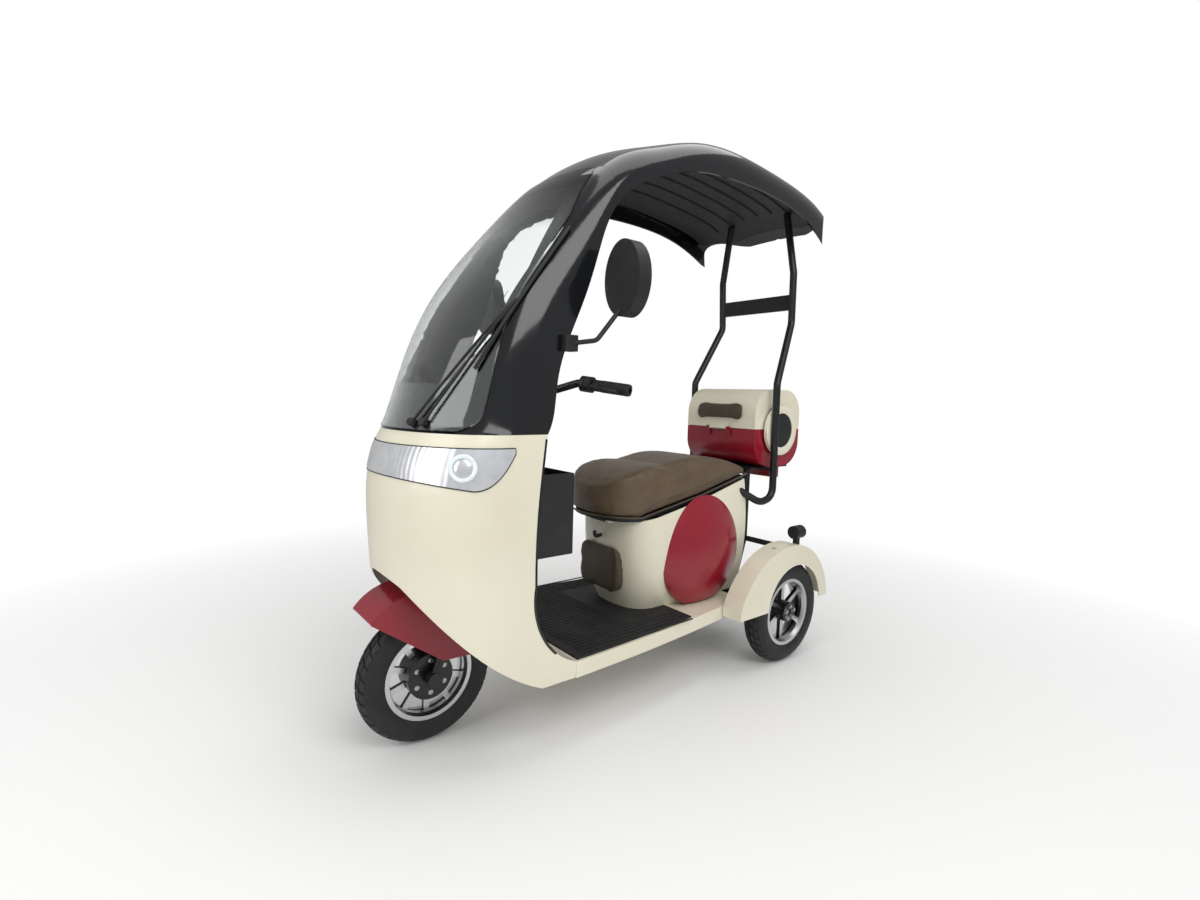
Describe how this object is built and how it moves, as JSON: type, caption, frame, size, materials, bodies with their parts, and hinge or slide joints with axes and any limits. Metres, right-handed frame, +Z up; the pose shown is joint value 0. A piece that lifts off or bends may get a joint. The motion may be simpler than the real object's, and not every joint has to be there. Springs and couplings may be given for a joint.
{
  "type": "covered electric tricycle scooter",
  "caption": "Roofed electric tricycle scooter: leg shield with headlamp, curved windscreen and roof, tipping seat, round side covers and a lidded tail box.",
  "frame": {"origin": "on the ground under the middle of the bounding box", "axes": "+X forward, +Y to the rider's left, +Z up"},
  "size_m": [1.6682, 0.844, 1.7425],
  "materials": {
    "cream_paint": "glossy cream bodywork plastic",
    "red_paint": "glossy dark red bodywork plastic",
    "black_gloss": "glossy black canopy plastic",
    "black_trim": "black textured trim plastic",
    "mat_rubber": "black ribbed floor rubber",
    "grip_rubber": "black grip rubber",
    "tyre": "black tyre rubber",
    "rim_alloy": "cast wheel, black with machined faces",
    "frame_paint": "black painted steel",
    "battery_case": "battery case",
    "motor_alloy": "cast alloy",
    "clear_lens": "clear lens",
    "screen_clear": "clear windscreen sheet",
    "reflector": "bright reflector",
    "seat_leather": "brown seat cover",
    "pad_leather": "dark brown pad cover",
    "tail_red": "red lamp lens"
  },
  "bodies": {
    "chassis": {"front_shell": "cream_paint", "headlamp_lens": "clear_lens", "headlamp_housing": "reflector", "headlamp_projectors": "reflector", "windscreen_surround": "black_gloss", "windscreen": "screen_clear", "roof_panel": "black_gloss", "roof_liner": "black_trim", "leg_shield_inner": "black_trim", "storage_pockets": "black_trim", "dash": "black_trim", "floor_tray": "cream_paint", "floor_mat": "mat_rubber", "seat_bucket": "cream_paint", "side_cover_left": "red_paint", "side_cover_right": "red_paint", "calf_pad": "pad_leather", "bag_hook": "black_trim", "battery": "battery_case", "frame": "frame_paint", "rear_axle": "frame_paint", "motor": "motor_alloy", "swing_arms": "frame_paint", "roof_stay_left": "frame_paint", "roof_stay_right": "frame_paint", "stay_plate": "frame_paint", "rack": "frame_paint", "tail_box_tub": "red_paint", "tail_box_caps": "black_trim", "rear_fender_left": "cream_paint", "rear_fender_right": "cream_paint", "rear_indicators": "black_trim", "tail_lamp": "tail_red", "mirror_left": "black_trim", "mirror_right": "black_trim"},
    "steering": {"fork": "frame_paint", "front_fender": "red_paint", "handlebar": "frame_paint", "grips": "grip_rubber", "hand_controls": "black_trim"},
    "front_wheel": {"front_tyre": "tyre", "front_rim": "rim_alloy"},
    "rear_left_wheel": {"rear_left_tyre": "tyre", "rear_left_rim": "rim_alloy"},
    "rear_right_wheel": {"rear_right_tyre": "tyre", "rear_right_rim": "rim_alloy"},
    "seat": {"seat_base": "black_trim", "seat_cushion": "seat_leather"},
    "tail_lid": {"tail_box_lid": "cream_paint", "tail_box_pad": "pad_leather"}
  },
  "joints": [
    {"name": "steer", "type": "hinge", "parent": "chassis", "child": "steering", "pos_m": [0.616, 0, 0.185], "axis": [-0.342, 0, 0.9397], "range_deg": [-30, 30]},
    {"name": "front_wheel_spin", "type": "hinge", "parent": "steering", "child": "front_wheel", "pos_m": [0.646, 0, 0.185], "axis": [0, 1, 0], "continuous": true},
    {"name": "rear_left_wheel_spin", "type": "hinge", "parent": "chassis", "child": "rear_left_wheel", "pos_m": [-0.594, 0.268, 0.185], "axis": [0, 1, 0], "continuous": true},
    {"name": "rear_right_wheel_spin", "type": "hinge", "parent": "chassis", "child": "rear_right_wheel", "pos_m": [-0.594, -0.268, 0.185], "axis": [0, 1, 0], "continuous": true},
    {"name": "seat_tip", "type": "hinge", "parent": "chassis", "child": "seat", "pos_m": [0.056, 0, 0.545], "axis": [0, 1, 0], "range_deg": [0, 50]},
    {"name": "tail_lid_open", "type": "hinge", "parent": "chassis", "child": "tail_lid", "pos_m": [-0.518, 0, 0.8385], "axis": [0, 1, 0], "range_deg": [0, 75]}
  ]
}
